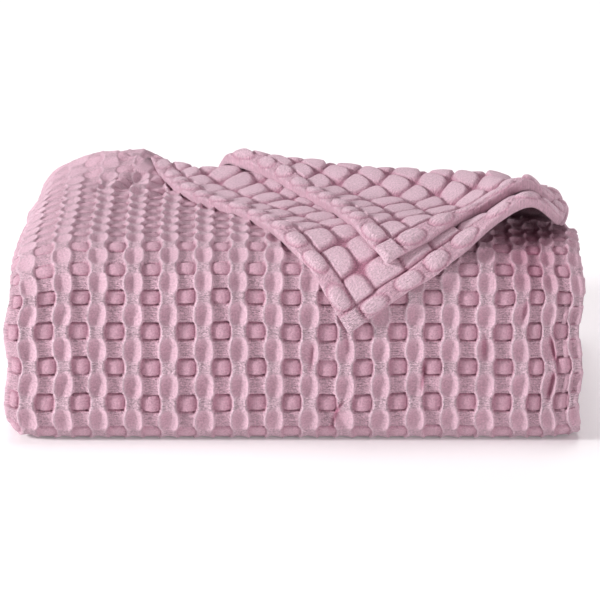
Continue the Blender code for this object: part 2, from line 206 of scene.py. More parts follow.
# On the turned-back layers: in from a hem, from the tip, the rest, rows of the turn and bed.
HEM_STEPS = (0, .0003, .0008, .0014, .0021, .0029, .0039, .0050, .0062, .0074, .0086, .0096, .0105, .0112,
             .0118, .0124, .0130, .0137, .0147)
CORNER_STEPS = (0, 0.002, 0.005, 0.009, 0.014, 0.020)
FLAP_ACROSS = 0.0054
FLAP_FROM, FLAP_TO, FLAP_ALONG = 0.026, 0.9975, 0.0048
TURN_ROWS, BED_ROWS = 25, 3

# ---- the sheets' borders ----
UNDER_FROM, UNDER_TO = 0.020, 0.010  # past the lower bend, and past the lowest turn
TURN_BEFORE, TURN_AFTER = 0.020, 0.015  # round the upper turn at the back
BARED_END = 0.215  # under the turned-back corner
PAST_FOLD = 0.040  # the outer layer, round the left fold
BEFORE_FOLD = 0.030  # the bared layer, and narrow steps
FACE_PAST_FOLD, SIDE_PAST_FOLD = 0.012, 0.024
SIDE = 0.034  # width of the narrow steps at the pack's sides

# ---- the cloth's material ----
SHADE_COLOR = (0.40, 0.150, 0.228, 1.0)  # at 0 of the painted shading: the painted shade deep in the grooves
CLOTH_COLOR = (0.61, 0.390, 0.470, 1.0)  # at MIDDLE_TONE
HIGHLIGHT_COLOR = (0.70, 0.540, 0.605, 1.0)  # at 1 of the painted shading: the painted highlight on the lit rims
MIDDLE_TONE = 0.62
CLOUDS = 0.35  # contrast of the soft clouds of colour
SPECKLE, SPECKLE_RIBBED = 1.05, 0.8  # and of the yarn's speckle

# ---- the picture ----
AIM = (0.0040, -0.1468, 0.0950)
DISTANCE = 4.5
ELEVATION = math.radians(13.0)
LENS = 423.9
SENSOR = 36.0
ROSY = (1.0, 0.80, 0.88, 1.0)  # the surroundings' light and the cloth's sheen
WHITE = (1.0, 1.0, 1.0, 1.0)
WORLD_LIGHT = 0.28
FLOOR_COLOR, FLOOR_GLOW, FLOOR_HALF = (0.93, 0.93, 0.93, 1.0), 0.12, 9
LIT_POINT = (0.0, -0.05, 0.06)  # all lights face this point
Light = namedtuple("Light", "name place power size")
LIGHTS = (
    Light("key", (-2.1, -0.9, 0.75), 62.0, 0.45),
    Light("top", (0.1, 0.2, 2.2), 19.0, 1.4),
    Light("fill", (1.4, -2.3, 0.3), 28.0, 1.0),
    Light("back", (0.0, 2.5, 1.0), 42.0, 3.2),
)

Run = namedtuple("Run", "length")
Arc = namedtuple("Arc", "radius degrees")


# ---- helpers
def smooth(value):
    value = np.clip(value, 0.0, 1.0)
    return value * value * (3 - 2 * value)


def bell(offset, width):
    return np.exp(-(offset / width) ** 2)


def track(start, heading, moves):
    """Rows (start length, a, b, heading, length, turn per metre) of runs and arcs laid end to end."""
    rows = []
    a, b = start
    begun = 0.0
    for move in moves:
        if isinstance(move, Run):
            rows.append((begun, a, b, heading, move.length, 0.0))
            a += move.length * math.cos(heading)
            b += move.length * math.sin(heading)
            begun += move.length
        else:
            turn = math.radians(move.degrees)
            curve = math.copysign(1.0 / move.radius, turn)
            rows.append((begun, a, b, heading, move.radius * abs(turn), curve))
            a += (math.sin(heading + turn) - math.sin(heading)) / curve
            b -= (math.cos(heading + turn) - math.cos(heading)) / curve
            heading += turn
            begun += move.radius * abs(turn)
    return np.array(rows)


def start_of(rows, row):
    """Length at which a row of a track starts."""
    return float(rows[row, 0])


def end_of(rows, row=-1):
    """Length at which a row of a track ends, the last one unless said."""
    return float(rows[row, 0] + rows[row, 4])


def along(rows, s):
    """(a, b, heading) at lengths s, straight on past both ends."""
    s = np.asarray(s, dtype=float)
    index = np.clip(np.searchsorted(rows[:, 0], s, side="right") - 1, 0, len(rows) - 1)
    begun, a, b, heading, _, curve = np.moveaxis(rows[index], -1, 0)
    local = s - begun
    straight = curve == 0
    safe = np.where(straight, 1.0, curve)
    now = heading + curve * local
    out_a = a + np.where(straight, local * np.cos(heading), (np.sin(now) - np.sin(heading)) / safe)
    out_b = b + np.where(straight, local * np.sin(heading), -(np.cos(now) - np.cos(heading)) / safe)
    return out_a, out_b, now


def bend_size(easy):
    """Height and depth of the front's upper bend, a wide arc of this radius and then the tight one."""
    rest = math.radians(90 - FRONT_SLOPE)
    return (easy * (1 - math.sin(rest)) + FRONT_TIGHT * math.sin(rest),
            easy * math.cos(rest) + FRONT_TIGHT * (1 - math.cos(rest)))


def strip_path():
    """The middle line (y, z) of the strip of four layers, from its upper end."""
    level = [STRIP / 2 + STRIP_PITCH * k for k in range(STRIPS)]
    face = FRONT + STRIP / 2
    loop = BACK - STRIP / 2 - STRIP_PITCH / 2
    high, deep = bend_size(FRONT_EASY)
    high_inner, deep_inner = bend_size(INNER_EASY)
    tight = 90 - FRONT_SLOPE
    outer = (Run(FREE_END - face - deep), Arc(FRONT_EASY, FRONT_SLOPE), Arc(FRONT_TIGHT, tight),
             Run(level[5] - level[0] - high - FRONT_TIGHT), Arc(FRONT_TIGHT, 90),
             Run(loop - face - FRONT_TIGHT), Arc(STRIP_PITCH / 2, 180))
    second = (Run(loop - face - STRIP_PITCH - FRONT_TIGHT), Arc(FRONT_TIGHT, -90),
              Run(level[4] - level[1] - FRONT_TIGHT - high_inner),
              Arc(FRONT_TIGHT, -tight), Arc(INNER_EASY, -FRONT_SLOPE),
              Run(loop - face - STRIP_PITCH - deep_inner), Arc(STRIP_PITCH / 2, -180))
    third = (Run(loop - face - 2.5 * STRIP_PITCH), Arc(STRIP_PITCH / 2, 180),
             Run(INNER_END - face - 2.5 * STRIP_PITCH))
    return track((FREE_END, level[5]), math.pi, outer + second + third)


def cloth_section():
    """The line (x, n) of the cloth's face through its four layers, hem to hem."""
    left = LEFT + FACE
    right = RIGHT - (PLY_PITCH + PLY) / 2
    inner = (PLY_PITCH - PLY) / 2
    under = HEM_UNDER - HEM_RADIUS
    return track((HEM_OUTER - HEM_UNDER, FACE - 2 * HEM_RADIUS), 0.0, (
        Run(under), Arc(HEM_RADIUS, 180), Run(HEM_OUTER - HEM_RADIUS - left), Arc(FACE, 180),
        Run(right - left), Arc((PLY_PITCH + PLY) / 2, 180), Run(right - left), Arc(inner, -180),
        Run(HEM_INNER - HEM_RADIUS - left), Arc(HEM_RADIUS, 180), Run(under)))


PATH = strip_path()
UPRIGHT, LOWER_BEND, LOWEST_TURN, UPPER_TURN = 3, 4, 6, 13  # rows of PATH
SECTION = cloth_section()
# Rows of SECTION: layers, the folds between them, and the second long hem.
FIRST, LEFT_FOLD, SECOND, RIGHT_FOLD, THIRD, INNER_FOLD, SECOND_HEM = 2, 3, 4, 5, 6, 7, 9
HEM_END = start_of(SECTION, FIRST)  # where the first long hem gives way to the layer
MIDWAY = HEM_END + HEM_OUTER - HEM_RADIUS  # at x = 0 on the first layer
ACROSS_AT_RIDGE = MIDWAY - RIDGE_X
SQUEEZE_AT = MIDWAY - SQUEEZE_X


def along_cloth(s, ply=FACE):
    """Length of the layer at n = ply, the outer face unless said, at lengths s of the middle line."""
    return s + ply * (along(PATH, s)[2] - math.pi)


UPRIGHT_START = start_of(PATH, UPRIGHT)
ALONG_AT_OVAL = float(along_cloth(UPRIGHT_START + along(PATH, UPRIGHT_START)[1] - OVAL_Z))


def along_weave(s, ply=FACE):
    """Length in the weave's lattice at lengths s of the strip's middle line."""
    length = along_cloth(s, ply)
    return length - LOWERED * smooth((ALONG_AT_OVAL - length) / (2 * CELL_ALONG))


def squeezed(t):
    """Section lengths with the columns near the hem drawn apart to their flat width."""
    return np.where(t < SQUEEZE_AT, SQUEEZE_AT - SQUEEZE * (SQUEEZE_AT - t), t)


def unsqueezed(t):
    """The reverse of squeezed."""
    return np.where(t < SQUEEZE_AT, SQUEEZE_AT - (SQUEEZE_AT - t) / SQUEEZE, t)


# ---- settling
def drawn_in(x, y, z):
    """How far the sides of the upper layers are drawn towards the middle, along x."""
    back = smooth((y - DIP_FROM_Y) / (DIP_TO_Y - DIP_FROM_Y))
    pull_left = PULL_FRONT + (PULL_LEFT - PULL_FRONT) * back
    pull = pull_left * smooth((PULL_FROM_LEFT - x) / PULL_REACH)
    pull = pull - PULL_RIGHT * back * smooth((x - PULL_FROM_RIGHT) / PULL_REACH)
    return pull * smooth((z - PULL_START) / (TOP - PULL_START))


def settle(points):
    """Where points of the square pack come to rest, in the object's own frame."""
    x, y, z = np.asarray(points, dtype=float).T
    back = smooth((y - DIP_FROM_Y) / (DIP_TO_Y - DIP_FROM_Y))
    to_right = smooth((x - DIP_FROM_X) / (RIGHT - DIP_FROM_X))
    shoulder_left = np.maximum((LEFT + SHOULDER - x) / SHOULDER, 0.0) ** 2
    shoulder_right = np.maximum((x - RIGHT + SHOULDER) / SHOULDER, 0.0) ** 2
    spread = np.where(x < BULGE_X, BULGE_LEFT, BULGE_RIGHT)
    bulge = BULGE * bell(x - BULGE_X, spread) * smooth((y - BULGE_Y) / (BACK - BULGE_Y))
    drop = DIP_BACK * back + DIP_RIGHT * back * to_right
    drop = drop + DROP_LEFT * shoulder_left + DROP_RIGHT * shoulder_right - bulge
    low = np.minimum(z / TOP, 1.0)
    wave = WANDER * np.sin(2 * math.pi * z / WANDER_PITCH + WANDER_TURN * y) * smooth(z / STRIP)
    wave = wave * smooth((np.abs(x) - WANDER_FROM) / WANDER_REACH)
    corner = CORNER_LIFT * np.maximum((np.abs(x) - RIGHT + CORNER) / CORNER, 0.0) ** 2 * (1 - low)
    placed = np.stack((x + drawn_in(x, y, z) - wave, y, z - drop * low ** 3 + corner), axis=1) + SHIFT
    placed[:, 2] = np.maximum(placed[:, 2], GROUND)
    return placed


# ---- the weave
def uneven(u, w, seed):
    """Smooth unevenness between -1 and 1, slow over a few cells."""
    return (np.sin(1.31 * u + 0.57 * w + 1.7 * seed) * 0.45
            + np.sin(0.43 * u - 1.13 * w + 2.9 * seed) * 0.35
            + np.sin(2.17 * u + 1.91 * w + 0.6 * seed) * 0.20)


def per_cell(cell_u, cell_w, seed):
    """A fixed value between -1 and 1 for each cell."""
    value = np.sin(cell_u * 12.9898 + cell_w * 78.233 + seed * 37.719) * 43758.5453
    return 2 * (value - np.floor(value)) - 1


def face_weave(u, w):
    """The cloth's face at cells u, w: height, how ribbed it is, and painted shading from 0, deep painted
    shade, to 1, painted highlight.
    """
    u = u + UNEVEN_U * uneven(u, w, 1)
    w = w + UNEVEN_W * uneven(u, w, 2)
    column = np.round(u)
    row = np.round(w)
    du = u - column
    dw = w - row
    side = np.abs(du)

    # The ridge column: an oval dish with rims in each cell, and a flat link to the next one.
    size = 1 + OVAL_VARIES * per_cell(column, row, 3)
    oval = np.clip(1 - (dw / OVAL_LONG) ** 2, 0, 1) ** 0.6
    half = RIDGE_HALF + OVAL_HALF * oval * size
    ridge = 1 - smooth((side - half + 0.015) / 0.052)
    rim = bell(side - half + 0.034, 0.028)
    dish = np.clip(1 - (du / half) ** 2 - (dw / OVAL_LONG) ** 2, 0, 1) ** 0.6
    link = smooth((np.abs(dw) - OVAL_LONG + 0.05) / 0.06)
    lopsided = 0.85 + 0.5 * du / half
    top = (RIDGE_TOP * (0.35 + 0.65 * rim) - DISH * size * dish * (1 - 0.8 * rim) * lopsided
           - LINK_DIP * link * (1 - 0.8 * rim))

    # The groove: a rounded pillow beside each link, a flat beside each oval, and a crease between them.
    row_low = np.floor(w)
    from_middle = np.abs(w - row_low - 0.5)
    across = np.clip(1 - ((0.5 - side) / 0.35) ** 2, 0, 1)
    full = 1 + PILLOW_VARIES * per_cell(np.floor(u), row_low, 5)
    rounded = 1 - 0.35 * np.clip((0.5 - side) / 0.33, 0, 1) ** 4
    within = smooth((PILLOW_HALF * rounded - from_middle) / 0.035)
    between = smooth((from_middle - PILLOW_HALF) / 0.030)
    crease = bell(from_middle - PILLOW_HALF - 0.004, 0.016)
    floor = -GROOVE + PILLOW * full * within * across ** 0.8 + FLAT_RISE * between - CREASE_DEEP * crease

    height = floor + (top - floor) * ridge
    ribbed = np.maximum(link * ridge, (1 - ridge) * between)
    # Painted light from the left: a painted highlight on each column's left rim, and painted shade in the
    # left part of each dish.
    toward_light = smooth(0.5 + du / 0.30)
    # Painted shading: painted shade deep in the groove and in the creases round the pillows, lighter on
    # the flats and pillows, lighter still on the ridges.
    groove_shading = 0.22 + 0.26 * across ** 2 * within + 0.38 * between - 0.12 * crease
    ridge_shading = (0.72 + (0.08 + 0.14 * toward_light) * rim + 0.05 * link
                  - (0.04 + 0.14 * toward_light) * dish * (1 - rim))
    painted_shading = groove_shading + (ridge_shading - groove_shading) * ridge
    return height, ribbed, np.clip(painted_shading, 0, 1)


def back_weave(u, w):
    """The cloth's reverse: a full rounded scale a cell, crevices between; height, ribbed and painted
    shading.
    """
    u = u + UNEVEN_BACK * uneven(u, w, 7)
    w = w + UNEVEN_BACK * uneven(u, w, 8)
    cell_u, cell_w = np.round(u), np.round(w)
    du, dw = (u - cell_u) / 0.5, (w - cell_w) / 0.5
    du = du + 0.16 * dw * per_cell(cell_u, cell_w, 13)
    full = 1 + SCALE_VARIES * per_cell(cell_u, cell_w, 9)
    out = (np.abs(du / 1.03) ** 3.0 + np.abs(dw / 1.01) ** 3.0) ** (1 / 3.0)
    raised = smooth((1.06 - out) / 0.30)
    crown = np.clip(1 - out ** 2, 0, 1)
    lean = SCALE_LEAN * raised * (dw * per_cell(cell_u, cell_w, 10) + 0.6 * du)
    height = SCALE_DEEP * (0.72 * full * raised + 0.28 * crown - 1) + lean
    # Painted shade in the crevices between the scales, lighter on their crowns.
    return height, 0.25 + 0.35 * (1 - raised), 0.04 + 0.66 * raised + 0.12 * crown


# ---- meshes and material
def new_sheet(name, points, quads, uv, ribbed, painted_shading):
    """A smooth-shaded mesh from grids in the square pack, with the cloth's own coordinates as its UVs."""
    points, cloth_uv = settle(points.reshape(-1, 3)), np.stack(uv, axis=-1).reshape(-1, 2)
    ribbed, painted_shading = ribbed.ravel(), painted_shading.ravel()
    used = np.unique(quads)
    renumber = np.full(len(points), -1)
    renumber[used] = np.arange(len(used))
    quads = renumber[quads]
    points, cloth_uv, ribbed, painted_shading = points[used], cloth_uv[used], ribbed[used], painted_shading[used]
    mesh = bpy.data.meshes.new(name)
    mesh.vertices.add(len(points))
    mesh.vertices.foreach_set("co", points.astype(np.float32).ravel())
    mesh.loops.add(quads.size)
    mesh.loops.foreach_set("vertex_index", quads.astype(np.int32).ravel())
    mesh.polygons.add(len(quads))
    mesh.polygons.foreach_set("loop_start", np.arange(0, quads.size, 4, dtype=np.int32))
    mesh.update(calc_edges=True)
    mesh.validate()
    uv = mesh.uv_layers.new(name="cloth")
    uv.uv.foreach_set("vector", cloth_uv[quads.ravel()].astype(np.float32).ravel())
    for label, values in (("ribbed", ribbed), ("painted_shading", painted_shading)):
        layer = mesh.attributes.new(label, "FLOAT", "POINT")
        layer.data.foreach_set("value", values.astype(np.float32))
    mesh.shade_smooth()
    thing = bpy.data.objects.new(name, mesh)
    bpy.context.scene.collection.objects.link(thing)
    return thing


def grid_quads(rows, columns, closed=False):
    """Vertex numbers of the quads of a grid, closed along its columns if asked."""
    r = np.arange(rows - 1)[:, None]
    c = np.arange(columns if closed else columns - 1)[None, :]
    after = (c + 1) % columns
    return np.stack((r * columns + c, r * columns + after,
                     (r + 1) * columns + after, (r + 1) * columns + c), axis=-1).reshape(-1, 4)


def cell_steps(start, end, phase, pitch, steps):
    """Positions from start to end, closer together where the weave is steep."""
    first = math.floor((start - phase) / pitch)
    last = math.ceil((end - phase) / pitch)
    places = phase + pitch * (np.arange(first, last + 1)[:, None] + np.array(steps)[None, :]).ravel()
    inside = places[(places > start + pitch * 0.03) & (places < end - pitch * 0.03)]
    return np.concatenate(([start], inside, [end]))


def even_steps(start, end, pitch):
    return np.linspace(start, end, max(2, int(round(abs(end - start) / pitch)) + 1))


def joined(*parts):
    """Position lists end to end, with the shared ends kept once."""
    return np.concatenate([parts[0]] + [part[1:] for part in parts[1:]])


def in_stretches(start, *stretches):
    """Positions from start through stretches (end, pitch), each with even steps of its own."""
    parts = []
    for end, pitch in stretches:
        parts.append(even_steps(start, end, pitch))
        start = end
    return joined(*parts)


def set_inputs(node, **values):
    """Set a node's inputs by their names, with _ for a space."""
    for label, value in values.items():
        node.inputs[label.replace("_", " ")].default_value = value


def cloth_material():
    """Matte cotton: colour from the weave's painted shade and highlight, with speckle, fine ribs and a
    short nap.
    """
    cloth = bpy.data.materials.new("waffle_cotton")
    cloth.use_nodes = True
    nodes, links = cloth.node_tree.nodes, cloth.node_tree.links
    surface = nodes["Principled BSDF"]
    set_inputs(surface, Roughness=0.90, Specular_IOR_Level=0.20,
               Sheen_Weight=0.35, Sheen_Roughness=0.55, Sheen_Tint=ROSY)

    uv = nodes.new("ShaderNodeUVMap")
    uv.uv_map = "cloth"

    def attribute(name):
        made = nodes.new("ShaderNodeAttribute")
        made.attribute_name = name
        return made.outputs["Fac"]

    def on_cloth(kind, **values):
        made = nodes.new(kind)
        set_inputs(made, **values)
        links.new(uv.outputs["UV"], made.inputs["Vector"])
        return made

    def math_node(operation, a, b, c=0.0):
        made = nodes.new("ShaderNodeMath")
        made.operation = operation
        for socket, value in zip(made.inputs, (a, b, c)):
            if isinstance(value, float):
                socket.default_value = value
            else:
                links.new(value, socket)
        return made.outputs["Value"]

    def bump(height, **values):
        made = nodes.new("ShaderNodeBump")
        set_inputs(made, **values)
        links.new(height, made.inputs["Height"])
        return made

    # Colour: painted shade deep in the grooves, painted highlight on the rims, with soft clouds and the
    # yarn's own speckle.
    ribbed = attribute("ribbed")
    ramp = nodes.new("ShaderNodeValToRGB")
    stops = ramp.color_ramp.elements
    stops[0].position, stops[0].color = 0.0, SHADE_COLOR
    stops[1].position, stops[1].color = 1.0, HIGHLIGHT_COLOR
    stops.new(MIDDLE_TONE).color = CLOTH_COLOR
    links.new(attribute("painted_shading"), ramp.inputs["Fac"])
    cloud = on_cloth("ShaderNodeTexNoise", Scale=28.0, Detail=3.0, Roughness=0.6)
    speckle = on_cloth("ShaderNodeTexNoise", Scale=760.0, Detail=3.0, Roughness=0.7)
    clouded = math_node("MULTIPLY_ADD", math_node("SUBTRACT", cloud.outputs["Fac"], 0.5), CLOUDS, 1.0)
    amount = math_node("MULTIPLY_ADD", ribbed, SPECKLE_RIBBED, SPECKLE)
    shade = nodes.new("ShaderNodeHueSaturation")
    speckled = math_node("SUBTRACT", speckle.outputs["Fac"], 0.5)
    links.new(math_node("MULTIPLY_ADD", speckled, amount, clouded), shade.inputs["Value"])
    links.new(ramp.outputs["Color"], shade.inputs["Color"])
    links.new(shade.outputs["Color"], surface.inputs["Base Color"])

    # Fine relief: ribs where the weave is flat, and a short nap everywhere.
    ribs = on_cloth("ShaderNodeTexWave", Scale=200.0, Distortion=5.0, Detail=2.0, Detail_Scale=2.0)
    ribs.wave_type = "BANDS"
    ribs.bands_direction = "Y"
    nap = on_cloth("ShaderNodeTexNoise", Scale=560.0, Detail=4.0, Roughness=0.75)
    rib_bump = bump(math_node("MULTIPLY", ribs.outputs["Fac"], ribbed), Strength=0.70, Distance=0.0010)
    nap_bump = bump(nap.outputs["Fac"], Strength=0.90, Distance=0.0020)
    links.new(rib_bump.outputs["Normal"], nap_bump.inputs["Normal"])
    links.new(nap_bump.outputs["Normal"], surface.inputs["Normal"])
    return cloth


# ---- the pack's cloth
def hem_rows(s_edge, inward_way):
    """Rows (length, inward) of the turned hem at an end of the path; inward_way is 1 at its start."""
    under = np.linspace(HEM_UNDER, HEM_RADIUS, 5)
    angle = np.linspace(0, math.pi, 7)[1:-1]
    s = np.concatenate((under, HEM_RADIUS - HEM_RADIUS * np.sin(angle)))
    inward = np.concatenate((np.full(len(under), 2 * HEM_RADIUS), HEM_RADIUS * (1 + np.cos(angle))))
    return s_edge + inward_way * s, inward


def path_rows(s, start_hem=False, end_hem=False):
    """Path lengths and how far inward each row lies, with turned hems at the ends of the cloth."""
    s = np.asarray(s, dtype=float)
    inward = np.zeros(len(s))
    if start_hem:
        inside = s > HEM_RADIUS
        hem_s, hem_in = hem_rows(0.0, 1)
        s = np.concatenate((hem_s, [HEM_RADIUS], s[inside]))
        inward = np.concatenate((hem_in, [0.0], inward[inside]))
    if end_hem:
        edge = end_of(PATH)
        inside = s < edge - HEM_RADIUS
        hem_s, hem_in = hem_rows(edge, -1)
        s = np.concatenate((s[inside], [edge - HEM_RADIUS], hem_s[::-1]))
        inward = np.concatenate((inward[inside], [0.0], hem_in[::-1]))
    return s, inward


def slits(x, z, heading):
    """Depth of the pinched slits on the upright front."""
    depth = np.zeros(np.broadcast(x, z).shape)
    front = smooth((heading - SLITS_FROM) / SLITS_FADE_IN) * smooth((SLITS_TO - heading) / SLITS_FADE_OUT)
    for slit in SLITS:
        across = x - slit.x - slit.lean * (z - slit.z)
        depth += slit.depth * np.exp(-(across / SLIT_WIDTH) ** 2 - ((z - slit.z) / slit.half_length) ** 4)
    return depth * front


def creases(x, y):
    """Depth of the soft creases on the top."""
    depth = np.zeros(np.broadcast(x, y).shape)
    for crease in CREASES:
        across = x - crease.x - crease.lean * (y - crease.y)
        depth += crease.depth * np.exp(-(across / crease.half_width) ** 2
                                       - ((y - crease.y) / crease.half_length) ** 4)
    return depth


def on_top_share(face_z):
    """From 0 to 1 near the height of the top."""
    return smooth((face_z - TOP + TOP_REACH) / TOP_REACH)


def relief_share(place, x, y, face_z, s, inward):
    """The share of its relief that the cloth keeps at hems, near the floor and on the top."""
    hem_edge = HEM_END - HEM_RADIUS * math.pi / 2
    share = 1 - HEM_CALM * bell(place - hem_edge, HEM_REACH)
    share = share * (1 - UNDER_CALM * smooth(inward / HEM_RADIUS)
                     - END_CALM * smooth(1 - s / END_REACH))[:, None]
    share = share * (FLOOR_SHARE + (1 - FLOOR_SHARE) * smooth((face_z + FLOOR_LOW) / FLOOR_REACH))
    on_top = on_top_share(face_z)
    at_left = smooth((LEFT + TOP_LEFT - x) / LEFT_REACH)
    calm = smooth((y - CALM_Y) / CALM_REACH) * smooth((CALM_X - x) / CALM_REACH)
    return share * (1 - on_top * (TOP_CALM + TOP_CALM_LEFT * at_left)) * (1 - CALM * on_top * calm)


def larger_shapes(x, y, face_z):
    """What larger shapes add to the outer layer, and the painted shade under the arch."""
    on_top = on_top_share(face_z)
    under_arch = bell(x - ARCH_X, DENT_WIDTH) * on_top * smooth((ARCH_BACK - y) / DENT_REACH)
    shoulder = smooth((x - FULL_X) / FULL_REACH) * bell(face_z - TOP + FULL_LOW, FULL_TALL) * (y < 0)
    added = FULL * shoulder - ARCH_DENT * under_arch - creases(x, y) * on_top
    return added, ARCH_SHADE * under_arch


def ribbon(name, t, rows, ply=FACE, only_inward=False, only_sides=False, only_middle=False,
           cut=False, outer=False):
    """One sheet: the cloth between section lengths t, along the path's rows, with its relief.

    cut leaves out what the turned-back corner bares. outer is for the outer layer, whose columns
    stay upright where the sides are drawn in, and which has the larger shapes.
    """
    s, inward = rows
    y, z, heading = (values[:, None] for values in along(PATH, s))
    place = np.broadcast_to(t, (len(s), len(t)))
    if outer:
        flat_x = along(SECTION, t)[0][None, :]
        place = place + np.maximum(drawn_in(flat_x, y, z - FACE * np.cos(heading)), 0)
    x, n, turn = along(SECTION, place)
    face_z = z - n * np.cos(heading)
    grid_u, grid_w = np.meshgrid((squeezed(t) - ACROSS_AT_RIDGE) / CELL_ACROSS,
                                 (along_weave(s, ply) - ALONG_AT_OVAL) / CELL_ALONG)

    height, ribbed, painted_shading = face_weave(grid_u, grid_w)
    if only_inward:
        height = np.minimum(height - RIDGE_TOP, -0.0001) * INWARD_SHARE
    else:
        # The pinched slits sink, and get painted shade.
        pinch = slits(x * (n > 0), z, heading)
        height = height - pinch
        painted_shading = np.clip(painted_shading - pinch / SLIT_SHADE, 0, 1)
    if only_sides:
        fade = smooth((np.abs(x) - RIGHT + SIDE_REACH) / SIDE_FADE)
        height, ribbed = height * fade, ribbed * fade
        painted_shading = CLOTH_TONE + (painted_shading - CLOTH_TONE) * fade
    if only_middle:
        height = height * smooth(np.minimum(t - t[0], t[-1] - t) / TURN_FADE)
    share = relief_share(place, x, y, face_z, s, inward)
    # The painted shade and highlight fade with the relief, down to TONE_KEPT of their contrast.
    painted_shading = CLOTH_TONE + (painted_shading - CLOTH_TONE) * (TONE_KEPT + (1 - TONE_KEPT) * share)
    reach = height * share - inward[:, None]
    if outer:
        # The larger shapes, and painted shade under the arch.
        added, arch_shade = larger_shapes(x, y, face_z)
        reach = reach + added
        painted_shading = np.clip(painted_shading - arch_shade, 0, 1)

    reach_n = n - reach * np.cos(turn)
    points = np.stack((x + reach * np.sin(turn), y + reach_n * np.sin(heading),
                       z - reach_n * np.cos(heading)), axis=-1)
    quads = grid_quads(len(s), len(t))
    if cut:
        points, quads = cut_at_crease(points, quads)
    sheet = new_sheet(name, points, quads, (grid_u * CELL_ACROSS, grid_w * CELL_ALONG), ribbed, painted_shading)
    return sheet


# ---- the turned-back corner
ALONG_CREASE = np.array((math.cos(CREASE_ANGLE), math.sin(CREASE_ANGLE)))
ACROSS_CREASE = np.array((ALONG_CREASE[1], -ALONG_CREASE[0]))  # towards the front
# The outer face from where the top ends: v is y on the top, and less by the length below it.
FACE_EDGE = FRONT + STRIP / 2 + bend_size(FRONT_EASY)[1]
FACE_DOWN = track((FACE_EDGE, TOP), math.pi, (
    Arc(FRONT_EASY + STRIP / 2, FRONT_SLOPE), Arc(FRONT_TIGHT + STRIP / 2, 90 - FRONT_SLOPE), Run(0.1)))


def drape(x, v, height):
    """Points at heights over the pack's outer face."""
    y, z, heading = along(FACE_DOWN, np.maximum(FACE_EDGE - v, 0.0))
    flat = v >= FACE_EDGE
    y, z = np.where(flat, v, y), np.where(flat, TOP, z)
    return np.stack((x, y + height * np.where(flat, 0.0, np.sin(heading)),
                     z + height * np.where(flat, 1.0, -np.cos(heading))), axis=-1)


def curve_through(share, shares, values):
    """A smooth curve through the values at the shares."""
    shares, values = np.array(shares), np.array(values)
    slope = np.gradient(values, shares)
    index = np.clip(np.searchsorted(shares, share, side="right") - 1, 0, len(shares) - 2)
    width = shares[index + 1] - shares[index]
    t = (share - shares[index]) / width
    return ((2 * t ** 3 - 3 * t ** 2 + 1) * values[index]
            + (t ** 3 - 2 * t ** 2 + t) * width * slope[index]
            + (3 * t ** 2 - 2 * t ** 3) * values[index + 1]
            + (t ** 3 - t ** 2) * width * slope[index + 1])


def hem_lines(hems, share):
    """Points (x, v) on the left and the right hem at the shares."""
    shares = [hem.share for hem in hems]
    lines = [curve_through(share, shares, [hem[k] for hem in hems]) for k in range(1, 5)]
    return np.stack(lines[:2], axis=-1), np.stack(lines[2:], axis=-1)


def roll_radius(share):
    """Radius of the turn at the crease, at the shares along it."""
    radius = np.interp(share, ROLL_SHARES, ROLL_RADII)
    return radius * (ROLL_END + (1 - ROLL_END) * smooth(share / ROLL_END_REACH))


def flap_height(x, v, layer):
    """How far a layer stands off beyond its level."""
    ease = SHOULDER_EASE * smooth((SHOULDER_FROM - v) / (SHOULDER_FROM - SHOULDER_TO))
    across = bell(x - ARCH_X, np.where(x < ARCH_X, ARCH_WIDTH, ARCH_RIGHT))
    rise = smooth((v - ARCH_FRONT) / (ARCH_FULL - ARCH_FRONT))
    return ease + (ARCH_HEIGHT + ARCH_OPEN * layer) * across * rise


def hem_relief(from_edge, beside, weave, weave_shading):
    """A layer's upper side near its hem: full segments, and a seam inside them; height and painted
    shading.
    """
    across = np.clip((from_edge - HEM_BAND / 2) / (HEM_BAND / 2), -1, 1)
    round_band = np.sqrt(1 - across ** 2)
    place = beside / CELL_ALONG + 0.08 * np.sin(beside * 97.0)
    cell = np.round(place)
    segment = place - cell + 0.07 * across
    lens = (segment / (0.38 + 0.04 * per_cell(cell, 0 * cell, 12))) ** 2 + (np.abs(across) / 0.92) ** 2.5
    swell = np.clip(1 - lens, 0, 1) ** 0.5
    outline = bell(lens - 1.0, 0.24)
    between = smooth((np.abs(segment) - 0.37) / 0.05)
    rib = between * 0.0005 * np.cos(segment * 2 * math.pi * 11)
    band = (0.0014 * round_band - 0.0012 + (0.0021 + 0.0005 * per_cell(cell, 0 * cell, 11)) * swell
            + (rib - 0.0009 * outline) * round_band)
    # Painted shading: lighter on the swelling segments, painted shade in their outlines and between them.
    band_shading = 0.70 + 0.12 * swell - 0.42 * outline - 0.10 * between
    inside = smooth((from_edge - HEM_BAND + HEM_FADE / 2) / HEM_FADE)
    seam = bell(from_edge - HEM_BAND - 0.0001, SEAM_WIDTH)
    ridge = bell(from_edge - HEM_BAND - 0.0018, 0.0008)
    height = band * (1 - inside) + weave * inside + 0.0003 * ridge - SEAM_DEEP * seam
    # Painted shade in the seam's groove.
    return height, np.clip(band_shading * (1 - inside) + weave_shading * inside - 0.40 * seam, 0, 1)


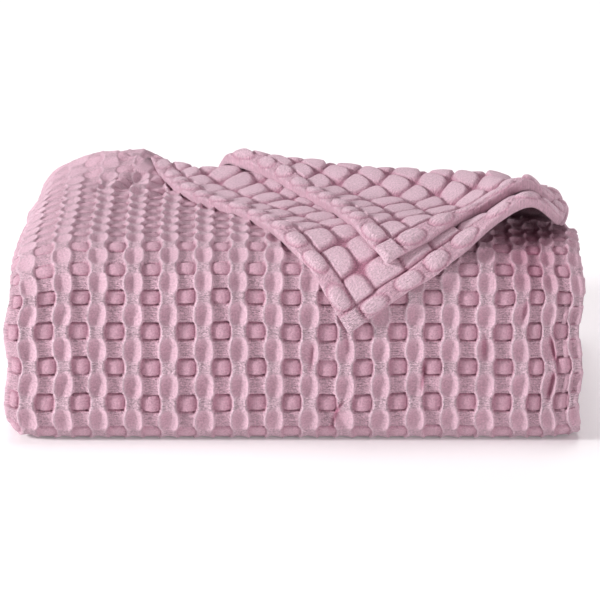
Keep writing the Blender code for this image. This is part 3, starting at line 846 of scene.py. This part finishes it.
def flap_relief(p, q, layer):
    """A layer's upper side at lengths p and q from its hems: nearer distance, height, ribbed and painted
    shading.
    """
    from_right, from_left = p * HEM_SLANT, q * HEM_SLANT
    edge = np.minimum(from_left, from_right)
    weave, ribbed, painted_shading = back_weave(q / CELL_ACROSS + 0.25, p / CELL_ALONG + 0.25)
    at_left = hem_relief(from_left, p, weave, painted_shading)
    at_right = hem_relief(from_right, q, weave, painted_shading)
    top, painted_shading = (np.where(from_right < from_left, right_one, left_one)
                 for left_one, right_one in zip(at_left, at_right))
    # Where the two hems cross, a square patch with a crease around it: the patch painted lighter, the
    # crease with painted shade.
    far = np.maximum(from_left, from_right)
    patch = smooth((HEM_BAND - far) / HEM_FADE)
    outline = bell(far - HEM_BAND, SEAM_WIDTH) * (edge < HEM_BAND)
    top = top * (1 - patch) + 0.0010 * patch - 0.0012 * outline
    painted_shading = np.clip(painted_shading * (1 - patch) + 0.80 * patch - 0.35 * outline, 0, 1)
    ribbed = np.where(edge < HEM_BAND, 0.5 + 0.5 * patch * (1 - layer), ribbed)
    return edge, top * np.clip(edge / EDGE_FLAT, 0, 1), ribbed, painted_shading


def length_along(line, rows):
    """Lengths along a line of points, with the last one repeated up to the number of rows."""
    lengths = np.concatenate(([0.0], np.cumsum(np.linalg.norm(np.diff(line, axis=0), axis=1))))
    return np.concatenate((lengths, np.full(rows - len(lengths), lengths[-1])))


def flap_columns(left_length, right_length):
    """Shares across a layer: its upper side from left to right, and its lower one back."""
    hem_steps = np.array(HEM_STEPS)
    c_left = hem_steps / right_length
    c_right = 1 - hem_steps[::-1] / left_length
    c_top = joined(c_left, even_steps(c_left[-1], c_right[0], FLAP_ACROSS), c_right)
    return c_top, c_top[::-1][1:-1]


def flap_middle(left, right, c, layer):
    """A layer's middle, in rows from its tip, round the turn and into its bed.

    Returns their places (x, v), heights, tilts, pi where the reverse is up, and lengths past the crease.
    """
    under = PLY_PITCH * layer
    start = -PLY / 2 - under
    level = FLAP_LIFT + FLAP_PLY / 2 + FLAP_PITCH * layer
    radius = roll_radius(c)[None, :]
    reach = radius + under
    lift = UPPER_LIFT * layer * (1 - smooth(c / LIFT_REACH))[None, :]

    flat_place = left[:, None, :] + (right - left)[:, None, :] * c[None, :, None]
    away = (flat_place - CREASE_POINT) @ ACROSS_CREASE - radius
    down = smooth(away / ROLL_EASE)
    off = flap_height(flat_place[..., 0], flat_place[..., 1], layer)
    flat_height = (2 * radius + under - PLY / 2 + lift) * (1 - down) + (level + off) * down

    angle = np.linspace(math.pi, 0, TURN_ROWS + 1)[1:]
    cosine = np.cos(angle)[:, None]
    crease = left[-1] + (right[-1] - left[-1]) * c[:, None]
    sideways = (ROLL_SIDEWAYS[0] * (1 - c) + ROLL_SIDEWAYS[1] * c)[None, :] * reach
    roll_place = crease[None] - ACROSS_CREASE * (reach * np.sin(angle)[:, None])[..., None]
    roll_place = roll_place - ALONG_CREASE * (sideways * (math.pi - angle)[:, None])[..., None]
    roll_height = start + under + radius - reach * cosine + lift * (1 - cosine) / 2
    roll_height = roll_height - BED_SUNK * (1 + cosine) / 2

    bed = np.linspace(CREASE_CUT, CREASE_CUT + CREASE_BED, BED_ROWS + 1)[1:]
    bed_place = crease[None] + ACROSS_CREASE * (bed[:, None] - radius)[..., None]
    bed_place = bed_place - ALONG_CREASE * (sideways * math.pi)[..., None]
    bed_height = np.full((len(bed), len(c)), start - BED_SUNK)

    mean_reach = float(np.mean(reach))
    tilts = (np.full(len(left), math.pi), angle, np.zeros(len(bed)))
    beyond = (np.zeros(len(left)), (math.pi - angle) * mean_reach, math.pi * mean_reach + bed)
    return [np.concatenate(parts) for parts in (
        (flat_place, roll_place, bed_place), (flat_height, roll_height, bed_height), tilts, beyond)]


def shell_quads(rows, above, below):
    """Quads of a closed shell with so many vertices a row above and below, capped at its end."""
    around = above + below
    last = (rows - 1) * around
    upper_row = last + np.arange(1, above - 1)
    lower_row = last + above + np.arange(below)[::-1]
    cap = np.stack((upper_row[:-1], upper_row[1:], lower_row[1:], lower_row[:-1]), axis=-1)
    return np.concatenate((grid_quads(rows, around, closed=True), cap))


def turned_layer(name, hems, layer):
    """One turned-back layer, as a closed thin shell with the cloth's reverse side up."""
    shares = np.concatenate((CORNER_STEPS, np.arange(FLAP_FROM, FLAP_TO, FLAP_ALONG), [1.0]))
    left, right = hem_lines(hems, shares)
    left_length, right_length = (np.linalg.norm(line[-1] - line[0]) for line in (left, right))
    c_top, c_low = flap_columns(left_length, right_length)
    c = np.concatenate((c_top, c_low))
    upper = np.concatenate((np.ones(len(c_top)), np.zeros(len(c_low))))[None, :]
    place, height, tilt, beyond = flap_middle(left, right, c, layer)
    rows = len(place)

    from_tip_left, from_tip_right = length_along(left, rows), length_along(right, rows)
    stretched = 1 + beyond / float(np.dot(left[0] - left[-1], ACROSS_CREASE))
    p = (1 - c)[None, :] * (from_tip_left * stretched)[:, None]
    q = c[None, :] * (from_tip_right * stretched)[:, None]
    edge, relief, ribbed, painted_shading = flap_relief(p, q, layer)
    # Only the upper side keeps its painted shade and highlight.
    painted_shading = CLOTH_TONE + (painted_shading - CLOTH_TONE) * upper

    thick = np.sqrt(1 - (1 - np.clip(edge / EDGE_ROUND, 0, 1)) ** 2) * FLAP_PLY / 2
    sunk = HEM_SUNK * smooth(edge / SUNK_REACH) * smooth((SUNK_END - edge) / SUNK_FADE)
    offset = np.where(upper > 0.5, thick + relief, -thick - sunk * np.cos(tilt)[:, None] ** 2)
    place = place - ACROSS_CREASE * np.sin(tilt)[:, None, None] * offset[..., None]
    points = drape(place[..., 0], place[..., 1], height - np.cos(tilt)[:, None] * offset)
    quads = shell_quads(rows, len(c_top), len(c_low))
    sheet = new_sheet(name, points, quads, (q, p), ribbed * upper, painted_shading)
    # Flat, the layer is a square corner over its crease, and a strip that goes round the turn.
    return sheet


def cut_at_crease(points, quads):
    """Leave out the two upper layers behind the crease, and turn their edge down."""
    cut = CREASE_CUT - (CREASE_CUT - SHEET_CUT) * smooth((CUT_FROM - points[..., 0]) / CUT_REACH)
    behind = cut - (points[..., :2] - CREASE_POINT) @ ACROSS_CREASE
    behind = np.where(points[..., 2] > TOP - STRIP / 2 + 0.0001, behind, -1.0)
    corners = behind.ravel()[quads]
    quads = quads[(corners < 0).any(axis=1) & (corners < CUT_EDGE).all(axis=1)]
    points = points + np.maximum(behind, 0)[..., None] * np.append(ACROSS_CREASE, 0.0)
    points[..., 2] -= EDGE_DOWN * smooth(1 + np.minimum(behind, 0) / DOWN_REACH)
    return points, quads


# ---- the pieces
def cloth_sheets():
    """All the sheets: the pack's layers, and the two of the turned-back corner."""
    end = end_of(PATH)
    bottom = end_of(PATH, LOWER_BEND) + UNDER_FROM
    turned_in = end_of(PATH, LOWEST_TURN) + UNDER_TO
    turn_from = start_of(PATH, UPPER_TURN) - TURN_BEFORE
    turn_to = end_of(PATH, UPPER_TURN) + TURN_AFTER
    left_fold = start_of(SECTION, SECOND)
    left_side = start_of(SECTION, LEFT_FOLD) - BEFORE_FOLD
    hidden = left_fold + PAST_FOLD
    right_fold = start_of(SECTION, RIGHT_FOLD) - BEFORE_FOLD
    right_side = start_of(SECTION, THIRD) + SIDE
    inner_fold = start_of(SECTION, INNER_FOLD)
    second_hem = start_of(SECTION, SECOND_HEM)

    # In sight, the vertices are on the weave's own lattice.
    in_sight = joined(even_steps(0.0, HEM_END, STEP_FIRST_HEM),
                      unsqueezed(cell_steps(float(squeezed(HEM_END)), left_fold + FACE_PAST_FOLD,
                                            ACROSS_AT_RIDGE, CELL_ACROSS, ACROSS_STEPS)),
                      even_steps(left_fold + FACE_PAST_FOLD, hidden, STEP_FOLD))
    lattice = cell_steps(float(along_weave(0.0)), float(along_weave(bottom)),
                         ALONG_AT_OVAL, CELL_ALONG, ALONG_STEPS)
    dense = np.linspace(0, bottom, 4000)
    down_front = np.interp(lattice, along_weave(dense), dense)
    under = in_stretches(0.0, (HEM_END, STEP_HEM), (left_fold, STEP_UNDER), (hidden, STEP_UNDER_FOLD))
    first = in_stretches(0.0, (HEM_END, STEP_HEM), (HEM_END + SIDE, STEP_SIDE),
                         (left_side, STEP_IN_NARROW), (left_fold + SIDE_PAST_FOLD, STEP_SIDE),
                         (hidden, STEP_LOOSE))
    second = even_steps(hidden, right_fold, STEP_IN_WIDE)
    third = in_stretches(right_fold, (right_side, STEP_SIDE), (inner_fold, STEP_IN))
    fourth = in_stretches(inner_fold, (second_hem - SIDE, STEP_IN), (second_hem, STEP_SIDE),
                          (end_of(SECTION), STEP_HEM))

    def rows(first_s, last_s, pitch=STEP_ALONG, **hems):
        return path_rows(even_steps(first_s, last_s, pitch), **hems)

    inside = {"only_inward": True, "only_sides": True}
    return [
        ribbon("top_and_front", in_sight, path_rows(down_front, start_hem=True), cut=True, outer=True),
        ribbon("underside", under, rows(bottom, turned_in)),
        ribbon("inner_outer_layer", first, rows(turned_in, end, STEP_UNDER, end_hem=True), **inside),
        ribbon("inner_second_layer", second, rows(0.0, turn_from, start_hem=True), **inside),
        ribbon("back_turn", even_steps(hidden, right_fold, STEP_WEAVE),
               rows(turn_from, turn_to, STEP_TURN), ply=-FACE, only_inward=True, only_middle=True),
        ribbon("inner_second_end", second, rows(turn_to, end, end_hem=True), **inside),
        ribbon("bared_layer", even_steps(right_fold, inner_fold, STEP_WEAVE),
               rows(0.0, BARED_END, STEP_WEAVE, start_hem=True), only_inward=True),
        ribbon("inner_folds", third, rows(BARED_END, end, end_hem=True), **inside),
        ribbon("inner_hems", fourth, rows(0.0, end, start_hem=True, end_hem=True), cut=True, **inside),
        turned_layer("lower_flap", LOWER_HEMS, 0),
        turned_layer("upper_flap", UPPER_HEMS, 1),
    ]


# ---- the picture
def pale_floor():
    """A wide white floor that runs into the background."""
    white = bpy.data.materials.new("pale_floor")
    white.use_nodes = True
    set_inputs(white.node_tree.nodes["Principled BSDF"], Base_Color=FLOOR_COLOR, Roughness=1.0,
               Emission_Color=WHITE, Emission_Strength=FLOOR_GLOW)
    mesh = bpy.data.meshes.new("floor")
    w = FLOOR_HALF
    mesh.from_pydata([(-w, -w, 0), (w, -w, 0), (w, w, 0), (-w, w, 0)], [], [(0, 1, 2, 3)])
    mesh.materials.append(white)
    floor = bpy.data.objects.new("floor", mesh)
    bpy.context.scene.collection.objects.link(floor)
    return floor


def stage_and_light():
    """A plain pale floor, a small key light from the left, three soft lights, and the camera."""
    scene = bpy.context.scene
    world = bpy.data.worlds.new("studio")
    scene.world = world
    world.use_nodes = True
    nodes, links = world.node_tree.nodes, world.node_tree.links
    around = nodes["Background"]
    set_inputs(around, Color=ROSY, Strength=WORLD_LIGHT)
    behind = nodes.new("ShaderNodeBackground")
    set_inputs(behind, Color=WHITE)
    seen = nodes.new("ShaderNodeLightPath")
    either = nodes.new("ShaderNodeMixShader")
    links.new(seen.outputs["Is Camera Ray"], either.inputs[0])
    links.new(around.outputs["Background"], either.inputs[1])
    links.new(behind.outputs["Background"], either.inputs[2])
    links.new(either.outputs["Shader"], nodes["World Output"].inputs["Surface"])

    floor = pale_floor()

    for row in LIGHTS:
        light = bpy.data.lights.new(row.name, "AREA")
        light.energy = row.power
        light.size = row.size
        lamp = bpy.data.objects.new(row.name, light)
        lamp.location = row.place
        toward = np.array(LIT_POINT) - np.array(row.place)
        toward = toward / np.linalg.norm(toward)
        lamp.rotation_euler = (math.acos(-toward[2]), 0.0, math.atan2(toward[1], toward[0]) - math.pi / 2)
        scene.collection.objects.link(lamp)

    lens = bpy.data.cameras.new("camera")
    lens.lens = LENS
    lens.sensor_width = SENSOR
    camera = bpy.data.objects.new("camera", lens)
    camera.location = (AIM[0], AIM[1] - DISTANCE * math.cos(ELEVATION),
                       AIM[2] + DISTANCE * math.sin(ELEVATION))
    camera.rotation_euler = (math.pi / 2 - ELEVATION, 0.0, 0.0)
    scene.collection.objects.link(camera)
    scene.camera = camera
    scene.view_settings.view_transform = "Standard"


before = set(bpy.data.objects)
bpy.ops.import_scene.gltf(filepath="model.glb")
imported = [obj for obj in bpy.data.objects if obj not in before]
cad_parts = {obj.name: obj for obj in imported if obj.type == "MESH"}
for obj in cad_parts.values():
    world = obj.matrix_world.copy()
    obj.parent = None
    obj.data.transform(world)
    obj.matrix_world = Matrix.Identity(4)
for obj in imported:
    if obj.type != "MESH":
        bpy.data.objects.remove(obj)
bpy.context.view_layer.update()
cotton = cloth_material()
for piece in cloth_sheets():
    piece.data.materials.append(cotton)
    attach(piece, "root")
    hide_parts("blanket")
stage_and_light()
